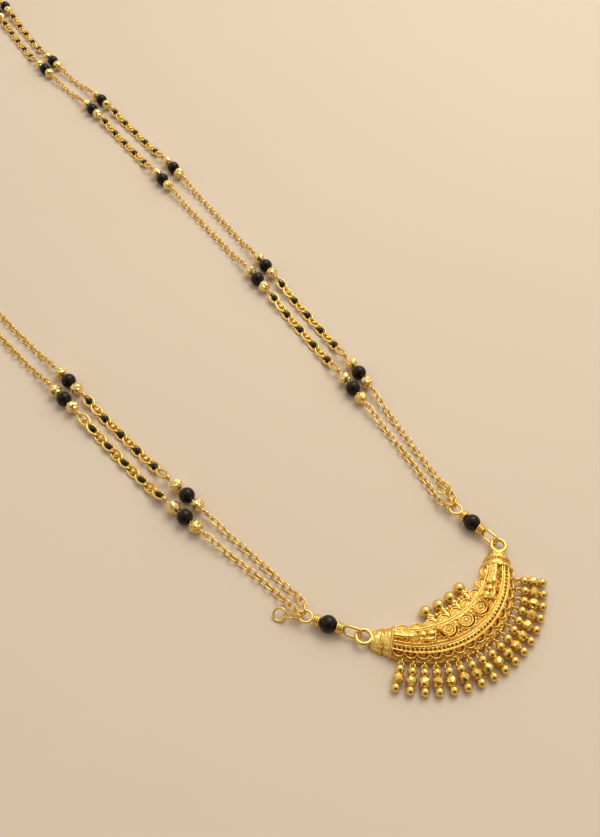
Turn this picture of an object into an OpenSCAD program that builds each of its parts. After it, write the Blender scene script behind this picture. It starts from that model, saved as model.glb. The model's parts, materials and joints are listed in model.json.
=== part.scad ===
/* [Pendant] */
// Radius of the arc along the crescent's outer edge
rim_r = 18.6; // [17.5:0.1:20]
// Half of the angle that the outer edge spans, in degrees
rim_half_deg = 58; // [54:1:60]
// Width of the crescent at its middle
body_w = 9.8; // [9:0.1:10.5]
// Height of the domed crescent above its flat back
body_h = 3.1; // [2.6:0.1:3.6]
// Half of the distance between the inner corners of the horns
horn_half = 11.2; // [10.6:0.1:12]
// Rise of the inner edge from its middle to the horns
horn_rise = 3.6; // [3:0.1:4.2]
// Length of each ribbed end cap
cap_len = 4.4; // [3.8:0.1:5]
// Radius of the wire ring soldered to each end cap
cap_ring_r = 1.45; // [1.3:0.05:1.7]
// Thickness of that ring's wire
cap_ring_wire = 0.7; // [0.6:0.05:0.75]
// Diameter of the four balls inside the crescent
inner_ball_d = 2.4; // [2:0.1:2.6]
// Length of the stems that carry the four balls
inner_stem = 0.8; // [0.5:0.1:1.2]

/* [Drops] */
// Angle between neighbouring drops, in degrees
drop_pitch_deg = 6.47; // [6.3:0.01:6.6]
// Diameter of the ball under a drop's ring
top_ball_d = 1.7; // [1.5:0.1:1.8]
// Diameter of the cut ball in the middle of a drop
mid_ball_d = 2.2; // [2:0.1:2.3]
// Diameter of the ball at a drop's end
end_ball_d = 1.8; // [1.6:0.1:2]
// Radius of the small rings that link a drop to the rim
eye_r = 0.5; // [0.5:0.05:0.6]
// Wire of the small rings
eye_wire = 0.26; // [0.2:0.02:0.3]

/* [Beads] */
// Diameter of the black beads between the gold ones
black_d = 3.5; // [3.2:0.1:3.6]
// Diameter of the gold beads
gold_d = 3.2; // [2.8:0.1:3.4]
// Diameter of the black bead on each wrapped wire
wrapped_d = 3.5; // [3.2:0.1:3.8]
// Bore of the black beads
bore_d = 0.9; // [0.85:0.05:1.1]
// Thickness of the pin through a bead group
pin_wire = 0.5; // [0.45:0.05:0.6]
// Bare neck of the pin between a gold bead and its eye
pin_neck = 0.63; // [0.5:0.01:0.9]
// Radius of the eye at each end of a pin
pin_eye_r = 0.72; // [0.72:0.02:0.9]
// Wire of a pin's eyes
pin_eye_wire = 0.45; // [0.4:0.05:0.45]

/* [Wrapped wires] */
// Thickness of the wrapped wire
wrap_wire = 0.5; // [0.4:0.05:0.55]
// Radius of the loop that hangs in a cap's ring
near_loop_r = 1.25; // [1.2:0.05:1.4]
// Radius of the loop that carries the two strands
far_loop_r = 1.25; // [1.2:0.05:1.4]
// Radius of the coil's turns
coil_r = 0.62; // [0.55:0.05:0.8]

/* [Chains] */
// Length of an oval link of the beaded chain
link_len = 4.4; // [4.2:0.1:4.8]
// Width of an oval link
link_w = 2.9; // [2.7:0.1:3.2]
// Wire of an oval link
link_wire = 0.55; // [0.45:0.05:0.55]
// Length of a link of the fine chain
fine_len = 2.46; // [2.4:0.02:2.8]
// Width of a link of the fine chain
fine_w = 1.8; // [1.7:0.05:2]
// Wire of a link of the fine chain
fine_wire = 0.33; // [0.26:0.01:0.34]
// Thickness of the fine chain as a whole
fine_d = 1.3; // [1.2:0.05:1.4]
// Length of the fine chain between two beaded stretches, bead to bead
mid_len = 52; // [48:0.5:54]
// Length of the last plain stretch before the neck, bead to bead
high_len = 31; // [29:0.5:33]

/* [Clasp] */
// Radius of the ring at each strand end
end_ring_r = 1.8; // [1.8:0.05:2.1]
// Wire of the end rings
end_ring_wire = 0.7; // [0.6:0.05:0.7]
// Radius of the two bows of the hook
hook_r = 2; // [1.8:0.1:2.4]
// Wire of the hook
hook_wire = 1; // [0.8:0.05:1.05]
// Radius of the small ring on each loose chain end
tail_ring_r = 1.3; // [1.2:0.05:1.5]
// Wire of those rings
tail_ring_wire = 0.45; // [0.4:0.05:0.5]

/* [Hidden] */
strands = ["left_outer", "left_inner", "right_inner", "right_outer"];
sides = ["left", "right"];
drop_count = 17;
function two_digits(i) = str(i < 10 ? "0" : "", i);
function drop_name(i) = str("drop_", two_digits(i));

// Clear gaps between pieces that hang in or lie beside each other
clear = 0.13;
link_gap = 0.16;
bead_gap = 0.1;
loop_gap = 0.25;
// More room where a link meets its ring or loop at a slant
slant_gap = 0.07;

// Pendant: the arc's centre lies so that the crescent's middle is at the origin
rows = 36;
cols = 84;
arc_c = [0, rim_r - body_w / 2];
inner_r = (pow(horn_half, 2) + pow(horn_rise, 2)) / (2 * horn_rise);
inner_c = [0, inner_r + body_w / 2];
inner_half_deg = asin(horn_half / inner_r);
function polar(c, r, deg) = c + r * [sin(deg), -cos(deg)];
function outer_pt(u) = polar(arc_c, rim_r, u * rim_half_deg);
function inner_pt(u) = polar(inner_c, inner_r, u * inner_half_deg);
function unit(v) = v / norm(v);
horn_in = inner_pt(1);
horn_out = outer_pt(1);
horn_w = norm(horn_out - horn_in);
horn_mid = (horn_in + horn_out) / 2;
horn_across = unit(horn_out - horn_in);
horn_dir = [-horn_across[1], horn_across[0]];
cap_eye = horn_mid + horn_dir * (cap_len + cap_ring_r - cap_ring_wire / 3);
cap_eye_z = body_h * 0.46;
// Sections of an end cap: share of its length, of the horn's width and of the height
cap_shape = [[0.02, 1.08, 1.08], [0.12, 1.08, 1.08], [0.14, 0.94, 0.95], [0.42, 0.9, 0.92],
  [0.45, 0.99, 1], [0.56, 0.99, 1], [0.59, 0.86, 0.88], [0.76, 0.72, 0.8], [0.9, 0.54, 0.7], [1, 0.38, 0.6]];

// Relief across the crescent, in rows from the inner edge, and along it
lobes = 11;
scallops = 13;
relief_h = 0.28;
twin_rows = [8, 10];
pit_rows = [21, 26];
pits = 44;
rosettes = [-0.56, -0.28, 0, 0.28, 0.56];
rosette_r = 1.45;
rosette_row = 15.5;
function across(v) = (1 - cos(180 * v)) / 2;
function rise(v) = pow(max(sin(180 * v), 0), 1 - 0.4 * across(v));
function peak(d, w) = max(0, 1 - abs(d) / w);
function row_peak(v, row, w) = peak(v * rows - row, w);
function rosette_d(u, v) = min([for (a = rosettes)
  norm([(u - a) * rim_r * 0.75 * rim_half_deg * PI / 180, (across(v) - across(rosette_row / rows)) * body_w])]);
function relief(u, v) = let (d = rosette_d(u, v))
  relief_h * (max([for (r = concat(twin_rows, pit_rows)) row_peak(v, r, 1.3)])
    + peak(d - rosette_r, 0.4) + 1.3 * peak(d, 0.7)
    - 0.8 * row_peak(v, (pit_rows[0] + pit_rows[1]) / 2, 1.5) * (1 - abs(cos(180 * u * pits / 2)))
    + 0.8 * peak(v * rows - pit_rows[1] - 3.5 * abs(sin(90 * (u + 1) * scallops)), 1.4));
function body_section(u) = let (a = inner_pt(u), e = outer_pt(u) - a, lobe = 0.55 * (1 - abs(sin(90 * (u + 1) * lobes))))
  [for (j = [0:rows]) let (v = j / rows, q = a + e * across(v) + unit(e) * lobe * max(0, 1 - v * 5))
    [q[0], q[1], (body_h + relief(u, v)) * rise(v)]];
function cap_section(c, side) =
  [for (j = [0:rows]) let (v = j / rows,
     q = horn_mid + horn_dir * cap_len * c[0] + horn_across * horn_w * c[1] * (across(v) - 0.5))
    [side * q[0], q[1], body_h * c[2] * rise(v)]];
pendant_sections = concat(
  [for (i = [len(cap_shape) - 1:-1:0]) cap_section(cap_shape[i], -1)],
  [for (i = [0:cols]) body_section(2 * i / cols - 1)],
  [for (c = cap_shape) cap_section(c, 1)]);

// Drops: each hangs by its ring in a small ring on the rim and lies with its balls on the floor
rim_eye_r = rim_r + 0.4 * eye_r;
drop_eye = rim_eye_r + 2 * eye_r - eye_wire - clear;
top_ball = eye_wire / 2 + clear + top_ball_d / 2 + rim_eye_r + eye_r - drop_eye;
ball_sink = 0.15;
mid_ball = top_ball + (top_ball_d + mid_ball_d) / 2 - ball_sink;
end_ball = mid_ball + (mid_ball_d + end_ball_d) / 2 - ball_sink;
drop_z = 0.45 * body_h;
drop_slope = atan(min((drop_z - end_ball_d / 2) / end_ball, (drop_z - mid_ball_d / 2) / mid_ball));

// Wrapped wires: distances from a cap ring's centre along the wire
wrap_heading = [124, 96];
wrap_z = wrapped_d / 2;
near_loop = cap_ring_r - (cap_ring_wire + wrap_wire) / 2 - loop_gap + near_loop_r;
coil_turns = 4;
coil_start = near_loop + near_loop_r + wrap_wire / 2;
wrapped_bead = coil_start + coil_turns * wrap_wire + bead_gap + wrapped_d / 2;
far_coil = wrapped_bead + wrapped_d / 2 + bead_gap;
far_turns = 3;
far_loop = far_coil + far_turns * wrap_wire + far_loop_r;
function heading(a) = [cos(a), sin(a)];
function side_x(s) = s == 0 ? -1 : 1;
function wrap_pt(s, d) = [side_x(s) * cap_eye[0], cap_eye[1]] + d * heading(wrap_heading[s]);

// Clasp: a hook in the form of an S between two upright rings, at the back of the neck
clasp_c = [-5, 343];
end_ring_z = end_ring_r + end_ring_wire / 2;
// The hook lies a little below the rings' middle
hook_sag = 0.4;
hook_z = end_ring_z - hook_sag;
end_ring_x = 2 * hook_r + end_ring_r - end_ring_wire / 2 - hook_wire / 2 - 2 * clear;

// Routes of the four strands, from the wrapped wires round to the clasp, lying on the floor
routes = [
  [[-24.95, 23.2], [-25.6, 28.2], [-31.2, 52.8], [-36.9, 97.7], [-40.4, 126.5], [-42.7, 160], [-43, 200],
   [-42.2, 240], [-41.9, 275], [-41.5, 308], [-30.8, 333.8], [-13.6, 344.3]],
  [[-22.7, 22.6], [-23.3, 28.7], [-28, 57.8], [-33.5, 102.6], [-37, 132.8], [-38.3, 160], [-38.6, 200],
   [-37.9, 240], [-37.6, 275], [-38, 308], [-28.3, 331.3], [-13.6, 341.7]],
  [[15.05, 24.6], [16.1, 30], [19.6, 61.6], [22.8, 107.6], [24.5, 161.2], [25.1, 203.6], [23.4, 236.6],
   [25.8, 272.6], [27.5, 308], [18.3, 331.3], [3.6, 341.7]],
  [[18.2, 24.7], [18.9, 30], [23.8, 64.6], [27.5, 111.1], [30, 162.7], [30, 206.4], [27.8, 236.8],
   [30.1, 274.5], [31.5, 308], [20.8, 333.8], [3.6, 344.3]]];
// Which side each strand is on, its first stretch up to a bead, and where it hangs round the loop and the end ring
strand_side = [0, 0, 1, 1];
first_len = [33.5, 38, 39.5, 43];
loop_deg = [110, 62, 120, 52];
ring_deg = [-24, 24, 24, -24];
// Loose chain ends: where each hangs on the loop, where it points, and how its two links and its ring are turned
tail_deg = [147, 86];
tail_end = [[-27.3, 23, 1.1], [17.1, 27.2, 3.15]];
tail_rolls = [90, 30, -35];

// A smooth curve through the chosen points, and a table of its length
steps = 10;
function chord(p, i) = p[i + 1] - p[i];
function turn(p, i) =
  i == 0 ? unit(chord(p, 0)) : i == len(p) - 1 ? unit(chord(p, i - 1)) :
  unit(unit(chord(p, i - 1)) * norm(chord(p, i)) + unit(chord(p, i)) * norm(chord(p, i - 1)));
function curve(p) = concat([for (i = [0:len(p) - 2]) let (l = norm(chord(p, i)), a = turn(p, i) * l, b = turn(p, i + 1) * l)
  for (k = [0:steps - 1]) let (t = k / steps)
    p[i] * (2 * pow(t, 3) - 3 * pow(t, 2) + 1) + a * (pow(t, 3) - 2 * pow(t, 2) + t)
    + p[i + 1] * (3 * pow(t, 2) - 2 * pow(t, 3)) + b * (pow(t, 3) - pow(t, 2))], [p[len(p) - 1]]);
function lengths(c) = [for (i = 0, s = 0; i < len(c); i = i + 1, s = i < len(c) ? s + norm(c[i] - c[i - 1]) : s) s];
function hold(wire) = (wire + fine_wire) / 2 + clear;
function loop_pt(s, deg) = wrap_pt(s, far_loop) + far_loop_r * heading(deg);
function ring_x(k) = side_x(strand_side[k]) * (end_ring_x + end_ring_r * cos(ring_deg[k]));
function behind(a, b, d) = a - d * unit(b - a);
function strand_points(k) = let (r = routes[k], a = loop_pt(strand_side[k], loop_deg[k]), b = clasp_c + [ring_x(k), 0])
  concat([behind(a, r[0], hold(wrap_wire))], r, [behind(b, r[len(r) - 1], hold(end_ring_wire) + slant_gap)]);
curves = [for (k = [0:3]) curve(strand_points(k))];
tables = [for (c = curves) let (l = lengths(c)) [[for (i = [0:len(c) - 1]) [l[i], c[i][0]]], [for (i = [0:len(c) - 1]) [l[i], c[i][1]]]]];
total = [for (t = tables) t[0][len(t[0]) - 1][0]];

// Bead groups and beaded stretches, by distance along a strand
link_in = link_len - link_wire;
link_pitch = link_in - link_wire - link_gap;
links = 10;
pin_half = black_d / 2 + bead_gap + gold_d + pin_neck + pin_eye_r;
beaded_len = 2 * pin_half + link_in + (links - 1) * link_pitch;
function groups(k) = let (a = first_len[k], b = a + beaded_len, c = b + mid_len, d = c + beaded_len, e = d + high_len)
  [a, b, c, d, e, e + beaded_len];
function ends(k) = let (g = groups(k)) [[0, g[0] - pin_half], [g[1] + pin_half, g[2] - pin_half],
  [g[3] + pin_half, g[4] - pin_half], [g[5] + pin_half, total[k]]];

// Heights: a strand lies on the floor and rises to the beads' middle near a group, loop or ring
group_z = black_d / 2;
rise_len = 8;
link_roll = 30;
floor_gap = 0.01;
beaded_z = (link_w - link_wire) / 2 * sin(link_roll) + link_wire / 2 + floor_gap;
end_z = [for (d = ring_deg) end_ring_z + end_ring_r * sin(d)];
function ease(t) = let (c = min(max(t, 0), 1)) c * c * (3 - 2 * c);
function hill(d, from, to) = to + (from - to) * (1 - ease(d / rise_len));
function strand_z(k, s, low) = let (g = groups(k), near = min([for (a = g) max(abs(s - a) - pin_half, 0)]))
  max(hill(s, wrap_z, low), hill(total[k] - s, end_z[k], low), hill(near, group_z, low));
function at(k, s) = let (t = tables[k]) [lookup(s, t[0]), lookup(s, t[1])];
function pt(k, s, low) = let (p = at(k, s)) [p[0], p[1], strand_z(k, s, low)];

// Puts its children at a, with their x axis toward b
module along(a, b) {
  d = b - a;
  translate(a) rotate([0, -atan2(d[2], norm([d[0], d[1]])), atan2(d[1], d[0])]) children();
}
module torus(r, wire) rotate_extrude($fn = 64) translate([r, 0]) circle(d = wire, $fn = 32);
// An oval link along x with the middle of its near wire at the origin
module oval_link(len, w, wire) {
  r = (w - wire) / 2;
  l = len - w;
  translate([r, 0, 0]) {
    rotate([0, 0, 90]) rotate_extrude(angle = 180, $fn = 48) translate([r, 0]) circle(d = wire, $fn = 24);
    translate([l, 0, 0]) rotate([0, 0, -90]) rotate_extrude(angle = 180, $fn = 48) translate([r, 0]) circle(d = wire, $fn = 24);
    for (y = [-r, r]) translate([0, y, 0]) rotate([0, 90, 0]) cylinder(d = wire, h = l, $fn = 24);
  }
}
// A closed skin over a row of sections
module loft(sec) {
  m = len(sec[0]);
  n = len(sec);
  polyhedron([for (s = sec) for (p = s) p], concat(
    [for (i = [0:n - 2]) for (j = [0:m - 1]) let (a = i * m + j, b = i * m + (j + 1) % m) [a, a + m, b]],
    [for (i = [0:n - 2]) for (j = [0:m - 1]) let (a = i * m + j, b = i * m + (j + 1) % m) [b, a + m, b + m]],
    [[for (j = [0:m - 1]) j]], [[for (j = [m - 1:-1:0]) (n - 1) * m + j]]), convexity = 8);
}
function tube_ring(p, d, dir) = let (x = unit([-dir[1], dir[0], 0]), y = unit(cross(dir, x)), r = d / 2)
  [for (i = [0:7]) p + r * (x * cos(45 * i + 22.5) + y * sin(45 * i + 22.5))];
module tube(p, d) loft([for (i = [0:len(p) - 1])
  tube_ring(p[i], d, p[min(i + 1, len(p) - 1)] - p[max(i - 1, 0)])]);

// The cast crescent with its end caps, rings, rim eyes and four small balls
module pendant() color("gold") union() {
  loft(pendant_sections);
  for (s = [-1, 1]) translate([s * cap_eye[0], cap_eye[1], cap_eye_z]) torus(cap_ring_r, cap_ring_wire);
  for (i = [0:drop_count - 1]) translate([arc_c[0], arc_c[1], 0])
    rotate([0, 0, drop_angle(i)]) translate([rim_eye_r, 0, drop_z]) rotate([90, 0, 0]) torus(eye_r, eye_wire);
  for (x = [-1.83, -0.6, 0.6, 1.83]) inner_ball(x * inner_ball_d);
}
module inner_ball(x) {
  edge = inner_c[1] - sqrt(pow(inner_r, 2) - pow(x, 2));
  translate([x, edge + inner_stem + inner_ball_d / 2, inner_ball_d / 2]) {
    sphere(d = inner_ball_d, $fn = 48);
    rotate([90, 0, 0]) cylinder(d = 0.3 * inner_ball_d, h = inner_stem + inner_ball_d, $fn = 32);
  }
}
function drop_angle(i) = (i - (drop_count - 1) / 2) * drop_pitch_deg - 90;
// One drop: a ring soldered to three balls in a row
module ball_row(balls) rotate([0, 90, 0]) rotate_extrude($fn = 48) for (b = balls) translate([0, b[0]]) half_disc(b[1]);
module half_disc(d) intersection() {
  circle(d = d, $fn = 48);
  translate([0, -d]) square([d, 2 * d]);
}
module drop(i) color("gold")
  translate([arc_c[0], arc_c[1], 0]) rotate([0, 0, drop_angle(i)])
    translate([drop_eye, 0, drop_z]) rotate([0, drop_slope, 0]) {
      torus(eye_r, eye_wire);
      ball_row([[top_ball, top_ball_d], [mid_ball, mid_ball_d], [end_ball, end_ball_d]]);
    }
// Places its children on a wrapped wire's axis, measured from the cap ring's centre
module on_wrap(s) {
  a = wrap_pt(s, 0);
  translate([a[0], a[1], wrap_z]) rotate([0, 0, wrap_heading[s]]) children();
}
module coil(from, turns, wide) {
  for (i = [0:turns - 1]) translate([from + (i + 0.5) * wrap_wire, 0, 0]) rotate([0, 90, 0])
    torus(i == wide ? coil_r + 0.4 * wrap_wire : coil_r, wrap_wire);
}
module wrap_wire_piece(s) color("gold") on_wrap(s) {
  translate([near_loop, 0, 0]) rotate([90, 0, 0]) torus(near_loop_r, wrap_wire);
  translate([far_loop, 0, 0]) torus(far_loop_r, wrap_wire);
  translate([near_loop + near_loop_r, 0, 0]) rotate([0, 90, 0])
    cylinder(d = bore_d - 2 * clear, h = far_loop - far_loop_r - near_loop - near_loop_r, $fn = 32);
  for (c = [[near_loop + near_loop_r, coil_turns], [far_coil, far_turns]]) translate([c[0], 0, 0]) rotate([0, 90, 0])
    cylinder(r = coil_r, h = c[1] * wrap_wire, $fn = 32);
  coil(coil_start, coil_turns, coil_turns - 1);
  coil(far_coil, far_turns, 0);
}
module drilled(d) rotate([0, 90, 0]) difference() {
  sphere(d = d, $fn = 48);
  cylinder(d = bore_d, h = d + 1, center = true, $fn = 32);
}
module wrapped_black_bead(s) color("#16120f") on_wrap(s) translate([wrapped_bead, 0, 0]) drilled(wrapped_d);
module on_group(k, s) {
  a = at(k, s - pin_half);
  b = at(k, s + pin_half);
  m = (a + b) / 2;
  translate([m[0], m[1], group_z]) rotate([0, 0, atan2(b[1] - a[1], b[0] - a[0])]) children();
}
// A pin with an eye at each end and its two gold beads soldered on, the beads and pin as one turned form
module pin_half_profile() {
  translate([0, pin_eye_r - pin_half]) square([pin_wire / 2, 2 * (pin_half - pin_eye_r)]);
  for (e = [-1, 1]) translate([0, e * (black_d / 2 + bead_gap + gold_d / 2)]) half_disc(gold_d);
}
module bead_pins(k) color("goldenrod") for (s = groups(k)) on_group(k, s) {
  rotate([0, 90, 0]) rotate_extrude($fn = 48) pin_half_profile();
  for (e = [-1, 1]) translate([e * pin_half, 0, 0]) rotate([90, 0, 0]) torus(pin_eye_r, pin_eye_wire);
}
module black_beads(k) color("#16120f") for (s = groups(k)) on_group(k, s) drilled(black_d);
// Oval links of the three beaded stretches, turned to either side in turn
module beaded_chain(k) color("gold") for (g = [0, 2, 4]) for (i = [0:links - 1]) {
  s = groups(k)[g] + pin_half + i * link_pitch;
  along(pt(k, s, beaded_z), pt(k, s + link_in, beaded_z)) rotate([i % 2 == 0 ? link_roll : -link_roll, 0, 0])
    oval_link(link_len, link_w, link_wire);
}
fine_in = fine_len - fine_wire;
fine_pitch = fine_in - fine_wire - clear;
tube_in = 1.5;
// Rings of a tube between its ends: more round the neck, where the route curves
tube_rings = [1, 1, 1, 7];
// The fine chain's plain stretches, each ending in a link that hangs in an eye, loop or ring
module fine_chain(k) color("gold") {
  low = fine_d / 2;
  for (i = [0, 1]) along(pt(k, i * fine_pitch, low), pt(k, i * fine_pitch + fine_in, low))
    rotate([90 - 90 * i, 0, 0]) oval_link(fine_len, fine_w, fine_wire);
  for (g = [0:3]) {
    a = ends(k)[g][0] + (g == 0 ? 2 * fine_pitch : 0);
    b = ends(k)[g][1];
    n = tube_rings[g];
    for (e = [[a, a + fine_in, g == 0 ? 90 : 0], [b, b - fine_in, 0]]) along(pt(k, e[0], low), pt(k, e[1], low))
      rotate([e[2], 0, 0]) oval_link(fine_len, fine_w, fine_wire);
    inner = [for (i = [0:n + 1]) a + rise_len + (b - a - 2 * rise_len) * i / (n + 1)];
    tube([for (s = concat([a + tube_in], inner, [b - tube_in])) pt(k, s, low)], fine_d);
  }
}
// Two links of a loose chain end, and the small ring on it
function tail_start(s) = let (
  p = loop_pt(s, tail_deg[s]),
  q = behind(p, [tail_end[s][0], tail_end[s][1]], hold(wrap_wire) + slant_gap)) [q[0], q[1], wrap_z];
function tail_dir(s) = unit(tail_end[s] - tail_start(s));
module tail_chain(s) color("gold") for (i = [0, 1]) {
  a = tail_start(s) + tail_dir(s) * i * fine_pitch;
  along(a, a + tail_dir(s)) rotate([tail_rolls[i], 0, 0]) oval_link(fine_len, fine_w, fine_wire);
}
module tail_ring(s) color("gold") {
  p = tail_start(s) + tail_dir(s) * (fine_pitch + fine_in - (fine_wire + tail_ring_wire) / 2 - clear + tail_ring_r);
  along(p, p + tail_dir(s)) rotate([tail_rolls[2], 0, 0]) torus(tail_ring_r, tail_ring_wire);
}
module end_ring(s) color("gold")
  translate([clasp_c[0] + side_x(s) * end_ring_x, clasp_c[1], end_ring_z]) rotate([90, 0, 0]) torus(end_ring_r, end_ring_wire);
module s_hook() color("gold") translate([clasp_c[0], clasp_c[1], hook_z])
  for (s = [-1, 1]) translate([s * hook_r, 0, 0]) rotate([0, 0, s < 0 ? 0 : 180]) {
    rotate_extrude(angle = 270, $fn = 64) translate([hook_r, 0]) circle(d = hook_wire, $fn = 32);
    translate([0, -hook_r, 0]) sphere(d = hook_wire, $fn = 32);
  }

pendant();
for (i = [1:drop_count]) drop(i - 1);
for (s = [0, 1]) {
  wrap_wire_piece(s);
  wrapped_black_bead(s);
  tail_chain(s);
  tail_ring(s);
  end_ring(s);
}
for (k = [0:3]) {
  fine_chain(k);
  beaded_chain(k);
  bead_pins(k);
  black_beads(k);
}
s_hook();
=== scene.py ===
import json
import math
import random

import bpy
import numpy as np
from mathutils import Matrix, Vector


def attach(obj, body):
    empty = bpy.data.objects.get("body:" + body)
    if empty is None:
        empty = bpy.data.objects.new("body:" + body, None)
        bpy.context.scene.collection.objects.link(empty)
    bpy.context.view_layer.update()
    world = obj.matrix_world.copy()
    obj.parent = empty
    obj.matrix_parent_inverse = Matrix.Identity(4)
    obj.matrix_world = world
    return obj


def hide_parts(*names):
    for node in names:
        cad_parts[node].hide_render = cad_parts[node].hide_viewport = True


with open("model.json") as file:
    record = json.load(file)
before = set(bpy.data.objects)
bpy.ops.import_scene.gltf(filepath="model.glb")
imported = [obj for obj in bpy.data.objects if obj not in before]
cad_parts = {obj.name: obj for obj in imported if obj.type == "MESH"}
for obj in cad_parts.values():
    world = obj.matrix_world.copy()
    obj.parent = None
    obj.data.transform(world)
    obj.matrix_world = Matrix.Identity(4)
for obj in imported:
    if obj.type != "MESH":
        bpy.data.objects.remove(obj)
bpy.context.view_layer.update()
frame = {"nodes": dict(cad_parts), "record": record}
mm = 0.001

# The necklace lies on a table top of pale beige, matt paper, seen from above at fifty degrees.
# The lens is a 40 mm one on a full frame, held above the pendant's left side.
# Nothing here belongs to the necklace: it is only the table and the camera.
camera_place = Vector((-75.2, -49.55, 164)) * mm
camera_tilt = math.radians(40)
camera_heading = math.radians(-35.62)
lens_length = 40
film_width = 36
nearest_seen = 5 * mm
table_size = 12.0
table_middle = 0.15
table_drop = 0.02 * mm
table_parts = 8
paper_dark = (0.72, 0.585, 0.43, 1)
paper_pale = (0.745, 0.61, 0.452, 1)
paper_cloud = 90 * mm
paper_fibre = 0.4 * mm
fibre_depth = 0.01 * mm


class Shade:
    """A socket of a finish that takes part in arithmetic."""

    def __init__(self, finish, socket):
        self.finish = finish
        self.socket = socket

    def maths(self, operation, *terms):
        return self.finish.node("ShaderNodeMath", {"operation": operation}, dict(enumerate(terms)))

    def __add__(self, other):
        return self.maths("ADD", self, other)

    def __radd__(self, other):
        return self.maths("ADD", other, self)

    def __mul__(self, other):
        return self.maths("MULTIPLY", self, other)

    def __rmul__(self, other):
        return self.maths("MULTIPLY", other, self)


class Finish:
    """A material of this necklace: fixed values on its shader, and what varies over the surface."""

    def __init__(self, name, fixed):
        self.material = bpy.data.materials.new(name)
        self.material.use_nodes = True
        self.tree = self.material.node_tree
        self.shader = self.tree.nodes["Principled BSDF"]
        for socket, value in fixed.items():
            self.shader.inputs[socket].default_value = value

    def node(self, kind, settings, sockets, output=0):
        """One node: its settings first, then a link or a value for each socket named."""
        made = self.tree.nodes.new(kind)
        for key, value in settings.items():
            setattr(made, key, value)
        for key, value in sockets.items():
            if isinstance(value, Shade):
                self.tree.links.new(value.socket, made.inputs[key])
            else:
                made.inputs[key].default_value = value
        return Shade(self, made.outputs[output])

    def speckle(self, grain, detail=3):
        """Noise on the piece's own coordinates, with blotches about grain metres across."""
        place = self.node("ShaderNodeTexCoord", {}, {}, "Object")
        return self.node("ShaderNodeTexNoise", {}, {"Vector": place, "Scale": 1 / grain, "Detail": detail})

    def mix(self, share, first, second):
        """A colour between two. A Mix node's colours are its sockets 6 and 7, and output 2."""
        return self.node("ShaderNodeMix", {"data_type": "RGBA"}, {0: share, 6: first, 7: second}, 2)

    def feed(self, socket, value):
        self.tree.links.new(value.socket, self.shader.inputs[socket])

    def bump(self, height, depth):
        raised = self.node("ShaderNodeBump", {}, {"Strength": 1, "Distance": depth, "Height": height})
        self.feed("Normal", raised)


bpy.ops.object.select_all(action="DESELECT")
bpy.ops.object.camera_add(location=camera_place, rotation=(camera_tilt, 0, camera_heading))
camera = bpy.context.object
camera.name = "camera_above_pendant"
camera.data.lens = lens_length
camera.data.sensor_width = film_width
camera.data.clip_start = nearest_seen
bpy.context.scene.camera = camera
bpy.context.scene.view_settings.view_transform = "Standard"

bpy.ops.mesh.primitive_grid_add(x_subdivisions=table_parts, y_subdivisions=table_parts, size=table_size)
table_top = bpy.context.object
table_top.name = "table_top"
table_top.location = (0, table_middle, -table_drop)
paper = Finish("table_paper", {"Roughness": 0.75, "Specular IOR Level": 0.25})
paper.feed("Base Color", paper.mix(paper.speckle(paper_cloud, detail=4), paper_dark, paper_pale))
paper.bump(paper.speckle(paper_fibre), fibre_depth)
table_top.data.materials.append(paper.material)

# The light is one round, soft lamp, like a window behind the necklace to the right.
# The room is bright towards it and dim opposite, with one dark patch on the camera's side.
# Both are fixed in the room, so they stay where they are when the necklace is seen from elsewhere.
lamp_place = Vector((0.3, 0.2, 0.48))
lamp_aim = Vector((0.03, 0.06, 0))
lamp_size = 0.45
lamp_power = 1.75
lamp_colour = (1, 0.99, 0.97)
room_colour = (1, 0.96, 0.92, 1)
window_way = (0.25, 0.45, 0.85)
window_angles = (125, 10)
window_levels = (0.28, 0.82)
patch_way = (-0.43, -0.62, 0.66)
patch_angles = (40, 16)
patch_levels = (1, 0.05)

bpy.ops.object.light_add(type="AREA", location=lamp_place)
lamp = bpy.context.object
lamp.name = "window_light"
lamp.rotation_euler = (lamp_place - lamp_aim).to_track_quat("Z", "Y").to_euler()
lamp.data.shape = "DISK"
lamp.data.size = lamp_size
lamp.data.energy = lamp_power
lamp.data.color = lamp_colour

world = bpy.data.worlds.new("quiet_room")
bpy.context.scene.world = world
world.use_nodes = True
room = world.node_tree
ways = room.nodes.new("ShaderNodeTexCoord").outputs["Generated"]


def range_of(value, low, high, first, last):
    """A value of the room, carried smoothly from one range to another."""
    spread = room.nodes.new("ShaderNodeMapRange")
    spread.interpolation_type = "SMOOTHSTEP"
    room.links.new(value, spread.inputs["Value"])
    for socket, number in (("From Min", low), ("From Max", high), ("To Min", first), ("To Max", last)):
        spread.inputs[socket].default_value = number
    return spread.outputs["Result"]


def glow(direction, angles, levels):
    """The first level beyond the first angle from a direction, and the second within the second."""
    facing = room.nodes.new("ShaderNodeVectorMath")
    facing.operation = "DOT_PRODUCT"
    facing.inputs[1].default_value = Vector(direction).normalized()
    room.links.new(ways, facing.inputs[0])
    far, near = (math.cos(math.radians(angle)) for angle in angles)
    return range_of(range_of(facing.outputs["Value"], far, near, 0, 1), 0, 1, *levels)


product = room.nodes.new("ShaderNodeMath")
product.operation = "MULTIPLY"
room.links.new(glow(window_way, window_angles, window_levels), product.inputs[0])
room.links.new(glow(patch_way, patch_angles, patch_levels), product.inputs[1])
background = room.nodes["Background"]
background.inputs["Color"].default_value = room_colour
room.links.new(product.outputs["Value"], background.inputs["Strength"])

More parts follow.
